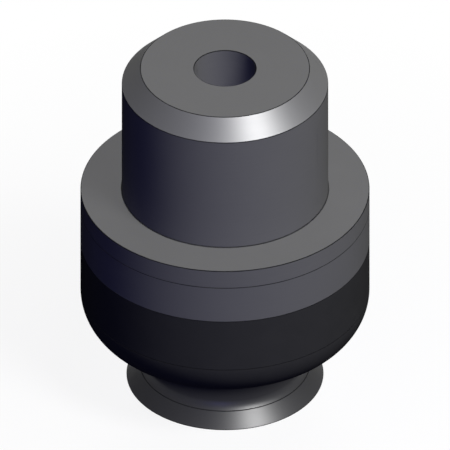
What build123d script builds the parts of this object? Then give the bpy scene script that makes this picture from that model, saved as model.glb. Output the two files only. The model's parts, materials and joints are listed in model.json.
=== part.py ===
"""Flat vacuum pad: a rubber cup and a metal ring, snapped onto a turned nipple.

Millimetres. The pad stands on its lip, with +Z up its axis to the end of the shank,
and the origin at the centre of the lip's plane.
"""

from build123d import *

import os
from math import radians, sin, tan

pad_diameter = 14.0  # of the cup, the ring and the flange, which are flush

# Suction cup, moulded in rubber
cup_height = 8.0
cup_rounding = 2.1
underside_slope = 31.5  # degrees, the body's underside as it falls towards the groove
groove_rounding = 1.0
lip_diameter = 9.6
lip_flare = 45.0  # degrees, the lip's outer cone against its plane
lip_height = 0.7  # up to where the cone turns into the groove

# Dish under the cup, which the air is drawn from
lip_land = 0.15
dish_depth = 0.85
dish_roof_diameter = 6.6
dish_rounding = 0.3
suction_hole_diameter = 3.6
cleat_count = 6
cleat_length = 0.9
cleat_width = 0.4
cleat_height = 0.45

# Support ring, turned in metal
ring_thickness = 2.0
ring_clearance = 0.1  # round the spigot, so that the ring slips over the snap head

# Nipple, turned in metal
shank_diameter = 10.0
shank_length = 7.1
shank_chamfer = 0.9
flange_thickness = 1.0
bore_diameter = 3.0
spigot_diameter = 6.8  # the snap head is turned to the same diameter
neck_diameter = 5.0
neck_length = 1.8
head_height = 1.2
head_chamfer = 0.4
pocket_clearance = 0.05  # between the snap head and its pocket in the rubber

edge_break = 0.05  # on the rims of the metal pieces and the mouths of the bore

# Levels, from the lip upwards
ring_bottom = cup_height
ring_top = ring_bottom + ring_thickness
flange_top = ring_top + flange_thickness
shank_top = flange_top + shank_length
head_top = ring_bottom - neck_length
head_bottom = head_top - head_height


def snap_end(clearance):
    """Neck and snap head under the ring, grown by the clearance for the pocket that takes them."""
    neck_radius = neck_diameter / 2 + clearance
    head_radius = spigot_diameter / 2 + clearance
    upper_face = head_top + clearance
    lower_face = head_bottom - clearance
    with BuildPart() as end:
        with BuildSketch(Plane.XZ):
            with BuildLine():
                Polyline(
                    (0, ring_bottom),
                    (neck_radius, ring_bottom),
                    (neck_radius, upper_face),
                    (head_radius, upper_face),
                    (head_radius, lower_face + head_chamfer),
                    (head_radius - head_chamfer, lower_face),
                    (0, lower_face),
                    close=True,
                )
            make_face()
        revolve(axis=Axis.Z)
    return end.part


def round_edges(piece, diameter):
    """The circular edges of a piece that have the given diameter, from the lowest up."""
    rims = piece.edges().filter_by(GeomType.CIRCLE)
    return rims.filter_by(lambda rim: abs(2 * rim.radius - diameter) < 1e-6).sort_by(Axis.Z)


# Nipple: the shank and the flange stand on the spigot, and the bore runs through them all
with BuildPart() as nipple:
    with BuildSketch(Plane.XZ):
        with BuildLine():
            Polyline(
                (0, ring_bottom),
                (spigot_diameter / 2, ring_bottom),
                (spigot_diameter / 2, ring_top),
                (pad_diameter / 2, ring_top),
                (pad_diameter / 2, flange_top),
                (shank_diameter / 2, flange_top),
                (shank_diameter / 2, shank_top),
                (0, shank_top),
                close=True,
            )
        make_face()
    revolve(axis=Axis.Z)
    add(snap_end(0))
    Hole(bore_diameter / 2)
    chamfer(round_edges(nipple, shank_diameter)[-1], shank_chamfer)
    chamfer(round_edges(nipple, pad_diameter), edge_break)
    chamfer(round_edges(nipple, bore_diameter), edge_break)

# Support ring: it sits on the spigot, between the flange and the rubber
with BuildPart() as support_ring:
    with BuildSketch(Plane.XY.offset(ring_bottom)):
        Circle(pad_diameter / 2)
        Circle(spigot_diameter / 2 + ring_clearance, mode=Mode.SUBTRACT)
    extrude(amount=ring_thickness)
    chamfer(round_edges(support_ring, pad_diameter), edge_break)

# The outline of the cup has two corners under their roundings: the body's lower edge, and the
# bottom of the groove, where the lip's cone and the body's underside would meet
groove_turn = radians(180 - lip_flare - underside_slope)
groove_run = groove_rounding * tan(groove_turn / 2)
groove_level = lip_height + groove_run * sin(radians(lip_flare))
groove_radius = lip_diameter / 2 - groove_level / tan(radians(lip_flare))
body_edge_level = groove_level + (pad_diameter / 2 - groove_radius) * tan(radians(underside_slope))

# Suction cup: the body hangs on the snap head, and the lip flares out under the groove
with BuildPart() as suction_cup:
    with BuildSketch(Plane.XZ):
        with BuildLine():
            outside = FilletPolyline(
                (pad_diameter / 2, cup_height),
                (pad_diameter / 2, body_edge_level),
                (groove_radius, groove_level),
                (lip_diameter / 2, 0),
                radius=(cup_rounding, groove_rounding),
            )
            Polyline(outside @ 1, (0, 0), (0, cup_height), outside @ 0)
        make_face()
    revolve(axis=Axis.Z)
    with BuildSketch(Plane.XZ):
        with BuildLine():
            dish = FilletPolyline(
                (0, dish_depth),
                (dish_roof_diameter / 2, dish_depth),
                (lip_diameter / 2 - lip_land, 0),
                radius=dish_rounding,
            )
            Polyline(dish @ 1, (0, 0), dish @ 0)
        make_face()
    revolve(axis=Axis.Z, mode=Mode.SUBTRACT)
    with BuildSketch(Plane.XY.offset(dish_depth - cleat_height)):
        cleat_circle = (suction_hole_diameter + dish_roof_diameter) / 4
        with PolarLocations(cleat_circle, cleat_count):
            SlotOverall(cleat_length, cleat_width)
    extrude(amount=cleat_height)
    add(snap_end(pocket_clearance), mode=Mode.SUBTRACT)
    Hole(suction_hole_diameter / 2)

nipple.part.label = "nipple"
support_ring.part.label = "support_ring"
suction_cup.part.label = "suction_cup"

os.makedirs("parts", exist_ok=True)
export_step(nipple.part, "parts/nipple.step")
export_step(support_ring.part, "parts/support_ring.step")
export_step(suction_cup.part, "parts/suction_cup.step")
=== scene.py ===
"""Looks of a small flat vacuum pad: a turned metal nipple, a metal ring and a moulded rubber cup.

The sections follow the pad as it is put together. Every length is in metres, and MM turns
the millimetres of the drawing into them.
"""

import json

import bpy
import numpy as np
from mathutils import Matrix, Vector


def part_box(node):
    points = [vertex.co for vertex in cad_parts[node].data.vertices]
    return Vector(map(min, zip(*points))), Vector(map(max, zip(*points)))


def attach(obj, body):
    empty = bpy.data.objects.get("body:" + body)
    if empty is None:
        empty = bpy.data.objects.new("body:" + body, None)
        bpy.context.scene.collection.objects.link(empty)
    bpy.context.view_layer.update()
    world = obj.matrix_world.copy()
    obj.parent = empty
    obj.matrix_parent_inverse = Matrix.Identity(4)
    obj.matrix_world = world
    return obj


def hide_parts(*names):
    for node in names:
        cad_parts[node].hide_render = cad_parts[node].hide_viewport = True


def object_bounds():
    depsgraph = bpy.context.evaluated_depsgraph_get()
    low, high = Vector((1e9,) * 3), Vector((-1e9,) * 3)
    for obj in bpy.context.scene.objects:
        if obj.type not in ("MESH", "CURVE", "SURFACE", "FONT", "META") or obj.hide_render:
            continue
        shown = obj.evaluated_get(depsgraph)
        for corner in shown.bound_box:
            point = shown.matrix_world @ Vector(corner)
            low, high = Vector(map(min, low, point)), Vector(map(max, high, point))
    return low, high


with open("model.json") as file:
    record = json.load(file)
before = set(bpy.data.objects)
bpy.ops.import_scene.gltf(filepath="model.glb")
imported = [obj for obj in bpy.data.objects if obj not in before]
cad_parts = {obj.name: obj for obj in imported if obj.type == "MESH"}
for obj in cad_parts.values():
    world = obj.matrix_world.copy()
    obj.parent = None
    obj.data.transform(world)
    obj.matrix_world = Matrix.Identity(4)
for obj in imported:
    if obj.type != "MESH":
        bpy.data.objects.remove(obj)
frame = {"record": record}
cad_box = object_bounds()

MM = 0.001


# Camera: an isometric view without perspective, from the front and above. It looks at the pad's
# axis, a little under half of its height.

PICTURE_PIXELS = 450
PIXELS_PER_MM = 20.65
ISOMETRIC_ELEVATION = np.arctan(1 / np.sqrt(2))
CAMERA_DISTANCE = 200 * MM
NEAREST_SEEN = 1 * MM
FARTHEST_SEEN = 3000 * MM
AIM_HEIGHT = 8.805 * MM


def direction(azimuth, elevation):
    """Unit vector from the pad towards a place given by two angles in radians.

    Azimuth 0 is the front, where the camera is, and grows towards the right. The vector is the
    cosine of the elevation along the ground, and its sine up.
    """
    ground = np.cos(elevation)
    return np.array([ground * np.sin(azimuth), -ground * np.cos(azimuth), np.sin(elevation)])


def stand(item, target, towards, distance):
    """Puts a lamp or the camera at a distance from a target, and turns it to face that target."""
    back = direction(*towards)
    item.location = np.asarray(target) + back * distance
    item.rotation_euler = (np.pi / 2 - towards[1], 0, towards[0])
    bpy.context.scene.collection.objects.link(item)


camera = bpy.data.objects.new("camera", bpy.data.cameras.new("camera"))
camera.data.type = "ORTHO"
camera.data.ortho_scale = PICTURE_PIXELS / PIXELS_PER_MM * MM
camera.data.clip_start = NEAREST_SEEN
camera.data.clip_end = FARTHEST_SEEN
stand(camera, (0, 0, AIM_HEIGHT), (0, ISOMETRIC_ELEVATION), CAMERA_DISTANCE)
bpy.context.scene.camera = camera


# Nipple: one turned metal part. Its shank goes up into the holder, its flange takes the load,
# and the ring and the cup hang on its spigot and snap head. The air goes through its bore.

mounts = {mount["name"]: mount for mount in frame["record"]["mounts"]}
nipple_low, nipple_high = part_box("nipple")
PAD_RADIUS = nipple_high.x
SHANK_RADIUS = mounts["shank"]["dims"]["r_mm"] * MM
BORE_RADIUS = mounts["vacuum_port"]["dims"]["r_mm"] * MM
SHANK_TOP = nipple_high.z
SHANK_CHAMFER = 0.9 * MM
FLANGE_TOP = mounts["shoulder"]["pos_m"][2]
FLANGE_THICKNESS = 1.0 * MM
RING_TOP = FLANGE_TOP - FLANGE_THICKNESS
RING_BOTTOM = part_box("support_ring")[0].z
SPIGOT_RADIUS = 3.4 * MM
NECK_RADIUS = 2.5 * MM
HEAD_TOP = 6.2 * MM
HEAD_BOTTOM = nipple_low.z
HEAD_CHAMFER = 0.4 * MM
METAL_EDGE = 0.03 * MM
CHAMFER_EDGE = 0.045 * MM
JOINT_EDGE = 0.015 * MM
TOOL_NOSE = 0.04 * MM
LARGEST_EDGE = 0.2 * MM
INSIDE_CORNER_CLOSENESS = 0.85
FLAT_MARGIN = 0.012 * MM
SAME_HEIGHT = 1e-6 * MM
TURN_STEPS = 420


def stretch(start, end, steps, margin):
    """Points along a straight stretch, both its ends included.

    They are evenly spaced between two points that stand a margin inside the ends, or a fifth of
    the way where that is less, so that smooth shading stays flat right up to the corners.
    """
    length = np.linalg.norm(end - start)
    inner = min(margin / length, 1 / 5)
    shares = np.concatenate([[0.0], np.linspace(inner, 1 - inner, steps), [1.0]])
    return start + shares[:, None] * (end - start)


def closed_outline(corners):
    """Points of a closed outline in (radius, height), each with its closeness to an edge.

    A corner is (radius, height, rounding, arc steps, steps of the stretch that follows it). Each
    corner is replaced by the arc that touches both its sides, whose tangent points lie
    rounding * tan(turn / 2) before and after it. The closeness is 1 along the arc of an outside
    edge, less along that of an inside corner, and 0 on the stretches between them and on arcs
    that are larger than any edge.
    """
    places = np.array([corner[:2] for corner in corners])
    before = places - np.roll(places, 1, axis=0)
    after = np.roll(places, -1, axis=0) - places
    before /= np.linalg.norm(before, axis=1, keepdims=True)
    after /= np.linalg.norm(after, axis=1, keepdims=True)
    across = before[:, 0] * after[:, 1] - before[:, 1] * after[:, 0]
    turns = np.arctan2(across, (before * after).sum(axis=1))
    roundings = np.array([corner[2] for corner in corners])
    runs = roundings * np.tan(np.abs(turns) / 2)
    first = places - before * runs[:, None]
    last = places + after * runs[:, None]
    # This closeness is also the mark along which the materials paint a thin dark line of shade.
    edges = np.where(turns > 0, 1.0, INSIDE_CORNER_CLOSENESS) * (roundings < LARGEST_EDGE)
    points = []
    closeness = []
    for index, corner in enumerate(corners):
        arc_steps, stretch_steps = corner[3:]
        side = np.sign(turns[index])
        inward = side * np.array([-before[index, 1], before[index, 0]])
        centre = first[index] + inward * roundings[index]
        swing = np.linspace(0, turns[index], arc_steps + 1)[1:-1, None]
        spoke = first[index] - centre
        arc = centre + spoke * np.cos(swing) + np.array([-spoke[1], spoke[0]]) * np.sin(swing)
        following = (index + 1) % len(corners)
        straight = stretch(last[index], first[following], stretch_steps, FLAT_MARGIN)
        points += [arc, straight]
        along = np.zeros(len(straight))
        along[[0, -1]] = edges[[index, following]]
        closeness += [np.full(len(arc), edges[index]), along]
    return np.concatenate(points), np.concatenate(closeness)


def turned(outline, steps):
    """Grid of points of a closed outline carried round the Z axis.

    Row i is the outline turned by i / steps of a full turn: x and y are its radius times the
    cosine and the sine of that angle, and z is its height.
    """
    angles = np.linspace(0, 2 * np.pi, steps, endpoint=False)[:, None]
    radius, height = outline.T
    x = radius * np.cos(angles)
    y = radius * np.sin(angles)
    return np.stack([x, y, np.broadcast_to(height, x.shape)], axis=-1)


def ring_mesh(name, grid, marks):
    """Smooth mesh over a grid of points that closes on itself both ways, like a tyre.

    Each face joins point (i, j) to its neighbours in the next row and the next column. The marks
    are attributes, each with one value for every point of the outline.
    """
    rows, columns = grid.shape[:2]
    here = np.arange(rows * columns).reshape(rows, columns)
    beside = np.roll(here, -1, axis=0)
    corners = [here, beside, np.roll(beside, -1, axis=1), np.roll(here, -1, axis=1)]
    quads = np.stack(corners, axis=-1)
    mesh = bpy.data.meshes.new(name)
    mesh.from_pydata(grid.reshape(-1, 3), [], quads.reshape(-1, 4), shade_flat=False)
    for mark, values in marks.items():
        mark_of_points = np.tile(values, rows).astype(np.float32)
        mesh.attributes.new(mark, "FLOAT", "POINT").data.foreach_set("value", mark_of_points)
    piece = bpy.data.objects.new(name, mesh)
    bpy.context.scene.collection.objects.link(piece)
    return piece


nipple_outline, nipple_edge = closed_outline([
    (BORE_RADIUS, HEAD_BOTTOM, METAL_EDGE, 5, 2),
    (SPIGOT_RADIUS - HEAD_CHAMFER, HEAD_BOTTOM, METAL_EDGE, 5, 2),
    (SPIGOT_RADIUS, HEAD_BOTTOM + HEAD_CHAMFER, METAL_EDGE, 5, 2),
    (SPIGOT_RADIUS, HEAD_TOP, METAL_EDGE, 5, 2),
    (NECK_RADIUS, HEAD_TOP, TOOL_NOSE, 5, 2),
    (NECK_RADIUS, RING_BOTTOM, TOOL_NOSE, 5, 2),
    (SPIGOT_RADIUS, RING_BOTTOM, METAL_EDGE, 5, 2),
    (SPIGOT_RADIUS, RING_TOP, TOOL_NOSE, 5, 2),
    (PAD_RADIUS, RING_TOP, JOINT_EDGE, 6, 3),
    (PAD_RADIUS, FLANGE_TOP, METAL_EDGE, 6, 4),
    (SHANK_RADIUS, FLANGE_TOP, TOOL_NOSE, 6, 8),
    (SHANK_RADIUS, SHANK_TOP - SHANK_CHAMFER, CHAMFER_EDGE, 6, 4),
    (SHANK_RADIUS - SHANK_CHAMFER, SHANK_TOP, CHAMFER_EDGE, 6, 4),
    (BORE_RADIUS, SHANK_TOP, METAL_EDGE, 6, 8),
])
out_from_top = nipple_outline[:, 0] > SHANK_RADIUS - SHANK_CHAMFER
up_from_wall = nipple_outline[:, 1] > SHANK_TOP - SHANK_CHAMFER
# Painted light: the flange top and the shank's end are marked to be painted lighter.
above_faces = nipple_outline[:, 1:] - (FLANGE_TOP, SHANK_TOP)
painted_top_light = (np.abs(above_faces) < SAME_HEIGHT).any(axis=1)
nipple_marks = {"edge": nipple_edge, "bright_cut": out_from_top & up_from_wall, "painted_top_light": painted_top_light}
turned_nipple = ring_mesh("turned_nipple", turned(nipple_outline, TURN_STEPS), nipple_marks)


class Signal:
    """A socket of a material's nodes. Sums and products of signals add the Math nodes for them."""

    def __init__(self, socket):
        self.socket = socket
        self.tree = socket.id_data

    def node(self, kind, settings=None, inputs=None, output=0):
        """Adds a node, sets its settings and then its inputs, and gives one of its outputs."""
        made = self.tree.nodes.new(kind)
        for key, value in (settings or {}).items():
            setattr(made, key, value)
        for key, value in (inputs or {}).items():
            if isinstance(value, Signal):
                self.tree.links.new(value.socket, made.inputs[key])
            else:
                made.inputs[key].default_value = value
        return Signal(made.outputs[output])

    def maths(self, operation, *values):
        """One Math node on this signal and the values."""
        inputs = dict(enumerate((self,) + values))
        return self.node("ShaderNodeMath", {"operation": operation}, inputs)

    def __add__(self, other):
        return self.maths("ADD", other)

    def __mul__(self, other):
        return self.maths("MULTIPLY", other)

    def __sub__(self, other):
        return self.maths("SUBTRACT", other)

    def __rsub__(self, other):
        return self.maths("MULTIPLY", -1.0).maths("ADD", other)

    __radd__ = __add__
    __rmul__ = __mul__

    def clamped(self, low, high):
        """This signal mapped from low..high to 0..1, and held there."""
        inputs = {"Value": self, "From Min": low, "From Max": high}
        return self.node("ShaderNodeMapRange", {}, inputs)

    def noise(self, scale, detail, dimensions="3D"):
        """Cloudy noise on this vector, between 0 and 1."""
        inputs = {"Vector": self, "Scale": scale, "Detail": detail}
        return self.node("ShaderNodeTexNoise", {"noise_dimensions": dimensions}, inputs, "Fac")

    def mark(self, name):
        """The piece's own mark of that name, and 0 where the piece has none."""
        return self.node("ShaderNodeAttribute", {"attribute_name": name}, {}, "Fac")

    def mixed(self, first, second):
        """Colour between two colours, by this signal. A Mix node's colours are sockets 6 and 7."""
        inputs = {0: self, 6: first, 7: second}
        return self.node("ShaderNodeMix", {"data_type": "RGBA"}, inputs, 2)


def new_material(name, constants):
    """Material, its Principled shader with the constants set, and the signal of the place in mm."""
    material = bpy.data.materials.new(name)
    material.use_nodes = True
    shader = material.node_tree.nodes["Principled BSDF"]
    for key, value in constants.items():
        shader.inputs[key].default_value = value
    place = Signal(material.node_tree.nodes.new("ShaderNodeTexCoord").outputs["Object"])
    place = place.node("ShaderNodeVectorMath", {"operation": "SCALE"}, {0: place, "Scale": 1 / MM})
    return material, shader, place


def plug_in(shader, signals):
    """Links each signal to the shader's input of that name."""
    for key, signal in signals.items():
        signal.tree.links.new(signal.socket, shader.inputs[key])


TOOL_MARKS_PER_MM = 9.0
METAL_CLOUDS_PER_MM = 0.6
METAL_DETAIL = 3.0
CLOUD_SHARE = 0.25
TOOL_MARK_SHARE = 0.25
# Painted light: how much lighter the faces square to the axis are painted.
PAINTED_TOP_LIGHT_SHARE = 0.5
METAL_ROUGHNESS = 0.43
TOOL_MARK_ROUGHNESS = 0.04
CUT_ROUGHNESS = 0.03
METAL_EDGE_ROUGHNESS = 0.2
TOOL_MARK_STRENGTH = 0.04
RELIEF_DEPTH = 0.01 * MM
CUT_MIRRORING = 0.6
METAL_SHEEN = 0.004
GRAZING_TINT = (0.12, 0.12, 0.12, 1)
# The tone varies at random between these greys, and is painted lighter on the faces square to the
# axis.
NIPPLE_DARK = (0.128, 0.128, 0.129, 1)
NIPPLE_LIGHT = (0.160, 0.160, 0.161, 1)
BARE_METAL = (0.285, 0.285, 0.287, 1)
# Painted shade: the dark colour of the line at every small edge, inside corner and seam of the
# metal.
PAINTED_METAL_EDGE_SHADE = (0.02, 0.02, 0.021, 1)


def turned_metal(name, dark, light):
    """Satin grey metal with the fine rings that a lathe leaves, and painted shade: a thin dark line
    at each edge.

    The bright cut is bare metal, which was turned last and with a finer feed. It mirrors its
    surroundings, and the rest has only a trace of that. The faces square to the axis are painted a
    little lighter than the walls, which is painted light.
    """
    constants = {"Specular IOR Level": 0.0, "Specular Tint": GRAZING_TINT}
    material, shader, place = new_material(name, constants)
    x, y, z = (place.node("ShaderNodeSeparateXYZ", {}, {0: place}, axis) for axis in "XYZ")
    radius = (x * x + y * y).maths("SQRT")
    rings = place.node("ShaderNodeCombineXYZ", {}, {0: radius, 1: z})
    tool_marks = rings.noise(TOOL_MARKS_PER_MM, METAL_DETAIL, "2D")
    clouds = place.noise(METAL_CLOUDS_PER_MM, METAL_DETAIL)
    edge = place.mark("edge")
    bright_cut = place.mark("bright_cut")
    # Painted light: the faces square to the axis get a lighter tone than the walls.
    tone = clouds * CLOUD_SHARE + tool_marks * TOOL_MARK_SHARE + place.mark("painted_top_light") * PAINTED_TOP_LIGHT_SHARE
    surface = bright_cut.mixed(tone.mixed(dark, light), BARE_METAL)
    roughness = tool_marks * TOOL_MARK_ROUGHNESS + bright_cut * CUT_ROUGHNESS
    relief = {"Strength": TOOL_MARK_STRENGTH, "Distance": RELIEF_DEPTH, "Height": tool_marks}
    plug_in(shader, {
        # Painted shade: the base colour goes dark along every small edge, inside corner and seam.
        "Base Color": edge.mixed(surface, PAINTED_METAL_EDGE_SHADE),
        "Metallic": bright_cut * (1 - edge) * CUT_MIRRORING + METAL_SHEEN,
        "Roughness": roughness + edge * METAL_EDGE_ROUGHNESS + METAL_ROUGHNESS,
        "Normal": place.node("ShaderNodeBump", {}, relief),
    })
    return material


nipple_metal = turned_metal("nipple_metal", NIPPLE_DARK, NIPPLE_LIGHT)
turned_nipple.data.materials.append(nipple_metal)
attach(turned_nipple, "root")
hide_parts("nipple")


# Support ring: a flat metal ring, turned from the same bar as the nipple. It sits loose on the
# spigot, between the flange and the rubber, and keeps the cup's top face flat.

RING_CLEARANCE = 0.1 * MM
RING_DARK = (0.127, 0.127, 0.129, 1)
RING_LIGHT = (0.155, 0.155, 0.157, 1)

ring_outline, ring_edge = closed_outline([
    (SPIGOT_RADIUS + RING_CLEARANCE, RING_BOTTOM, METAL_EDGE, 5, 2),
    (PAD_RADIUS, RING_BOTTOM, JOINT_EDGE, 6, 4),
    (PAD_RADIUS, RING_TOP, JOINT_EDGE, 6, 2),
    (SPIGOT_RADIUS + RING_CLEARANCE, RING_TOP, METAL_EDGE, 5, 2),
])
metal_ring = ring_mesh("metal_ring", turned(ring_outline, TURN_STEPS), {"edge": ring_edge})
ring_metal = turned_metal("ring_metal", RING_DARK, RING_LIGHT)
metal_ring.data.materials.append(ring_metal)
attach(metal_ring, "root")
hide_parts("support_ring")


# Suction cup: one black rubber moulding, pressed up over the snap head. Its soft lip seals on the
# work, and under it a shallow dish with six cleats keeps the work off the suction hole.

LIP_RADIUS = 4.8 * MM
LIP_LAND = 0.15 * MM
LIP_EDGE = 0.02 * MM
LIP_CONE_HEIGHT = 0.7 * MM
LIP_FLARE = np.radians(45.0)
GROOVE_ROUNDING = 1.0 * MM
UNDERSIDE_SLOPE = np.radians(31.5)
CUP_ROUNDING = 2.1 * MM
CUP_EDGE = 0.02 * MM
WITNESS_DEPTH = 0.012 * MM
WITNESS_WIDTH = 0.04 * MM
WITNESS_EDGE = 0.002 * MM
DISH_DEPTH = 0.85 * MM
DISH_ROOF_RADIUS = 3.3 * MM
DISH_ROUNDING = 0.3 * MM
HOLE_RADIUS = 1.8 * MM
POCKET_CLEARANCE = 0.05 * MM
CLEAT_COUNT = 6
CLEAT_LENGTH = 0.9 * MM
CLEAT_WIDTH = 0.4 * MM
CLEAT_HEIGHT = 0.45 * MM
CLEAT_FLANK = 0.05 * MM
ROOF_TOLERANCE = 1e-4 * MM

groove_turn = np.pi - LIP_FLARE - UNDERSIDE_SLOPE
groove_level = LIP_CONE_HEIGHT + GROOVE_ROUNDING * np.tan(groove_turn / 2) * np.sin(LIP_FLARE)
groove_radius = LIP_RADIUS - groove_level / np.tan(LIP_FLARE)
body_edge_level = groove_level + (PAD_RADIUS - groove_radius) * np.tan(UNDERSIDE_SLOPE)
wall_foot = body_edge_level + CUP_ROUNDING * np.tan((np.pi / 2 - UNDERSIDE_SLOPE) / 2)
lip_line = LIP_CONE_HEIGHT - WITNESS_WIDTH / 2
neck_pocket = NECK_RADIUS + POCKET_CLEARANCE
head_pocket = SPIGOT_RADIUS + POCKET_CLEARANCE
pocket_bottom = HEAD_BOTTOM - POCKET_CLEARANCE


def witness_line(radius, height, heading):
    """Three corners of the shallow V that is left where two parts of the mould meet.

    The heading is the outline's direction there. The V reaches half a width each way from the
    place, along that direction, and its bottom lies one depth in from the surface.
    """
    place = np.array([radius, height])
    along = WITNESS_WIDTH / 2 * np.array([np.cos(heading), np.sin(heading)])
    inward = WITNESS_DEPTH * np.array([-np.sin(heading), np.cos(heading)])
    corners = (place - along, 0), (place + inward, 0), (place + along, 6)
    return [(*corner, WITNESS_EDGE, 3, steps) for corner, steps in corners]


cup_outline, cup_edge = closed_outline([
    (HOLE_RADIUS, DISH_DEPTH, CUP_EDGE, 4, 48),
    (DISH_ROOF_RADIUS, DISH_DEPTH, DISH_ROUNDING, 8, 3),
    (LIP_RADIUS - LIP_LAND, 0, LIP_EDGE, 4, 2),
    (LIP_RADIUS, 0, LIP_EDGE, 4, 6),
    *witness_line(LIP_RADIUS - lip_line / np.tan(LIP_FLARE), lip_line, np.pi - LIP_FLARE),
    (groove_radius, groove_level, GROOVE_ROUNDING, 24, 6),
    (PAD_RADIUS, body_edge_level, CUP_ROUNDING, 24, 6),
    *witness_line(PAD_RADIUS, wall_foot + WITNESS_WIDTH, np.pi / 2),
    (PAD_RADIUS, RING_BOTTOM, CUP_EDGE, 4, 3),
    (neck_pocket, RING_BOTTOM, CUP_EDGE, 4, 2),
    (neck_pocket, HEAD_TOP + POCKET_CLEARANCE, CUP_EDGE, 4, 2),
    (head_pocket, HEAD_TOP + POCKET_CLEARANCE, CUP_EDGE, 4, 2),
    (head_pocket, pocket_bottom + HEAD_CHAMFER, CUP_EDGE, 4, 2),
    (head_pocket - HEAD_CHAMFER, pocket_bottom, CUP_EDGE, 4, 2),
    (HOLE_RADIUS, pocket_bottom, CUP_EDGE, 4, 3),
])


def with_cleats(grid):
    """The cup's grid with the cleats pushed down out of the flat roof of its dish.

    Each cleat is a radial slot shape. A point's depth inside it is 0 on its outline and 1 from a
    flank's width further in. That depth is smoothed, and multiplied by the cleat's height. All of
    the cleats are worked out at once, because the angle is folded into one cleat's share of a turn.
    """
    x, y, z = np.moveaxis(grid, -1, 0)
    fold = 2 * np.pi / CLEAT_COUNT
    angle = (np.arctan2(y, x) + fold / 2) % fold - fold / 2
    radius = np.hypot(x, y)
    along = np.abs(radius * np.cos(angle) - (HOLE_RADIUS + DISH_ROOF_RADIUS) / 2)
    across = radius * np.sin(angle)
    reach = np.hypot(np.maximum(along - (CLEAT_LENGTH - CLEAT_WIDTH) / 2, 0), across)
    depth = np.clip((CLEAT_WIDTH / 2 - reach) / CLEAT_FLANK, 0, 1)
    on_roof = np.abs(z - DISH_DEPTH) < ROOF_TOLERANCE
    drop = on_roof * CLEAT_HEIGHT * depth * depth * (3 - 2 * depth)
    return np.stack([x, y, z - drop], axis=-1)


cup_grid = with_cleats(turned(cup_outline, TURN_STEPS))
moulded_cup = ring_mesh("moulded_cup", cup_grid, {"edge": cup_edge})


SKIN_GRAINS_PER_MM = 22.0
SKIN_DETAIL = 2.0
SKIN_STRENGTH = 0.05
BLOOM_CLOUDS_PER_MM = 0.8
BLOOM_DETAIL = 3.0
RUBBER_ROUGHNESS = 0.5
SKIN_ROUGHNESS = 0.06
POLISH_ROUGHNESS = 0.41
POLISH_REFRACTION = 3.0
POLISH_WEIGHT = 0.255
RUBBER_SHEEN = 0.003
POLISH_FULL_TO = 0.8 * MM
POLISH_GONE_AT = 1.1 * MM
PALE_FULL_TO = 1.2 * MM
PALE_GONE_AT = 1.7 * MM
RUBBER_DARK = (0.031, 0.031, 0.032, 1)
RUBBER_LIGHT = (0.038, 0.038, 0.039, 1)
LIP_RUBBER = (0.042, 0.042, 0.043, 1)
# Painted shade: the dark colour of the witness lines and of every small edge of the rubber.
PAINTED_RUBBER_EDGE_SHADE = (0.014, 0.014, 0.015, 1)


def moulded_rubber(name):
    """Black rubber with the fine matt skin of an etched mould, and a smoother, paler lip.

    The lip's polish and its paler colour fade out up the groove, each between two levels. The
    rest of the rubber keeps a trace of the polish, and the witness lines and edges are painted
    dark, which is painted shade.
    """
    constants = {
        "Specular IOR Level": 0.0,
        "Coat Roughness": POLISH_ROUGHNESS,
        "Coat IOR": POLISH_REFRACTION,
    }
    material, shader, place = new_material(name, constants)
    z = place.node("ShaderNodeSeparateXYZ", {}, {0: place}, "Z")
    skin = place.noise(SKIN_GRAINS_PER_MM, SKIN_DETAIL)
    bloom = place.noise(BLOOM_CLOUDS_PER_MM, BLOOM_DETAIL)
    polish = 1 - z.clamped(POLISH_FULL_TO / MM, POLISH_GONE_AT / MM)
    pale = 1 - z.clamped(PALE_FULL_TO / MM, PALE_GONE_AT / MM)
    surface = pale.mixed(bloom.mixed(RUBBER_DARK, RUBBER_LIGHT), LIP_RUBBER)
    edge = place.mark("edge")
    relief = {"Strength": SKIN_STRENGTH, "Distance": RELIEF_DEPTH, "Height": skin}
    plug_in(shader, {
        # Painted shade: the base colour goes dark along the witness lines and every small edge.
        "Base Color": edge.mixed(surface, PAINTED_RUBBER_EDGE_SHADE),
        "Roughness": skin * SKIN_ROUGHNESS + RUBBER_ROUGHNESS,
        "Coat Weight": polish * (1 - edge) * POLISH_WEIGHT + RUBBER_SHEEN,
        "Normal": place.node("ShaderNodeBump", {}, relief),
    })
    return material


cup_rubber = moulded_rubber("cup_rubber")
moulded_cup.data.materials.append(cup_rubber)
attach(moulded_cup, "root")
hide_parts("suction_cup")


# Floor: a wide sheet of plain white card, which the pad stands on. Beside the pad it is lit by
# the lamps and takes the pad's shadow, and further out it is plain white all the way.

FLOOR_SIDE = 3000 * MM
FLOOR_GAP = 0.002 * MM
SHADOW_REACH = 8 * MM
PLAIN_WHITE_FROM = 30 * MM
GLOW_BESIDE_PAD = 0.65
CARD_WHITE = (0.98, 0.98, 0.98, 1)
GLOW_WHITE = (1, 1, 1, 1)
DIM_GREY = (0.03, 0.03, 0.03, 1)

floor_mesh = bpy.data.meshes.new("floor")
floor_plan = np.array([(-1, -1, 0), (1, -1, 0), (1, 1, 0), (-1, 1, 0)]) * FLOOR_SIDE / 2
floor_mesh.from_pydata(floor_plan - (0, 0, FLOOR_GAP), [], [(0, 1, 2, 3)])
floor = bpy.data.objects.new("floor", floor_mesh)
bpy.context.scene.collection.objects.link(floor)


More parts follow.
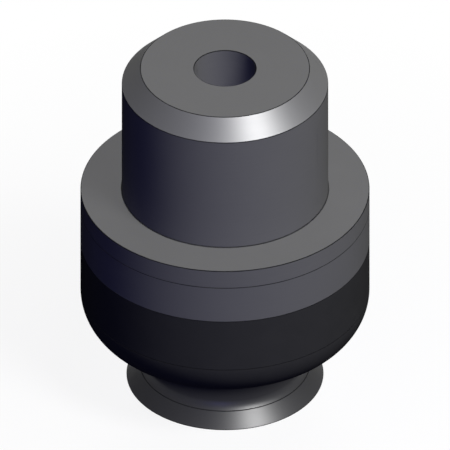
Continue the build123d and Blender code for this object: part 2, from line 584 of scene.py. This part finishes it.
def white_card(name):
    """White card for every ray that sees it, and dim card for the light that it would throw back.

    The white is a mix of lit card and glow. The share of glow grows with the distance from the
    pad, from its share beside the pad to 1.
    """
    material, shader, place = new_material(name, {"Base Color": CARD_WHITE, "Roughness": 1.0})
    distance = place.node("ShaderNodeVectorMath", {"operation": "LENGTH"}, {0: place}, "Value")
    far = distance.clamped(SHADOW_REACH / MM, PLAIN_WHITE_FROM / MM)
    share = far * (1 - GLOW_BESIDE_PAD) + GLOW_BESIDE_PAD
    glow = place.node("ShaderNodeEmission", {}, {"Color": GLOW_WHITE, "Strength": 1.0})
    lit = Signal(shader.outputs["BSDF"])
    white = place.node("ShaderNodeMixShader", {}, {0: share, 1: lit, 2: glow})
    dim = place.node("ShaderNodeBsdfDiffuse", {}, {"Color": DIM_GREY})
    camera_ray, glossy_ray, transmission_ray = (
        place.node("ShaderNodeLightPath", {}, {}, "Is %s Ray" % kind)
        for kind in ("Camera", "Glossy", "Transmission")
    )
    seen = (camera_ray + glossy_ray + transmission_ray).clamped(0, 1)
    surface = place.node("ShaderNodeMixShader", {}, {0: seen, 1: dim, 2: white})
    output = material.node_tree.nodes["Material Output"]
    material.node_tree.links.new(surface.socket, output.inputs["Surface"])
    return material


floor_mesh.materials.append(white_card("white_card"))


# Lights: a key lamp at the right, in front and above, whose greater part throws no shadow, a lamp
# overhead, a faint blue one low in front, and one low behind that lights the pad's back.

PAD_MIDDLE = (0, 0, (cad_box[0].z + cad_box[1].z) / 2)
LAMP_DISTANCE = 300 * MM
WHITE = (1, 1, 1)
FAINT_BLUE = (0.16, 0.16, 1)
WORLD_STRENGTH = 0.02


def soft_lamp(name, azimuth, elevation, width, irradiance, colour=WHITE, shadow=True):
    """Round lamp that faces the pad. Its width is the angle that it fills, seen from the pad.

    A lamp of power P at a distance D gives the irradiance P / (pi * D * D). One that throws no
    shadow is sampled directly alone, because the pad would stop a mirrored ray on its way there.
    """
    data = bpy.data.lights.new(name, "AREA")
    data.shape = "DISK"
    data.size = 2 * LAMP_DISTANCE * np.tan(np.radians(width) / 2)
    data.energy = irradiance * np.pi * LAMP_DISTANCE ** 2
    data.color = colour
    data.use_shadow = shadow
    data.cycles.use_multiple_importance_sampling = shadow
    lamp = bpy.data.objects.new(name, data)
    stand(lamp, PAD_MIDDLE, (np.radians(azimuth), np.radians(elevation)), LAMP_DISTANCE)


soft_lamp("key_lamp", azimuth=43, elevation=50, width=18, irradiance=0.7)
soft_lamp("key_fill_lamp", azimuth=43, elevation=50, width=18, irradiance=2.4, shadow=False)
soft_lamp("top_lamp", azimuth=0, elevation=90, width=20, irradiance=0.5, shadow=False)
soft_lamp("fill_lamp", azimuth=-6, elevation=8, width=20, irradiance=0.45,
          colour=FAINT_BLUE, shadow=False)
soft_lamp("back_lamp", azimuth=180, elevation=6, width=40, irradiance=1.45)

world = bpy.data.worlds.new("studio")
world.use_nodes = True
background = world.node_tree.nodes["Background"]
background.inputs["Color"].default_value = (*WHITE, 1)
background.inputs["Strength"].default_value = WORLD_STRENGTH
bpy.context.scene.world = world
bpy.context.scene.view_settings.view_transform = "Standard"
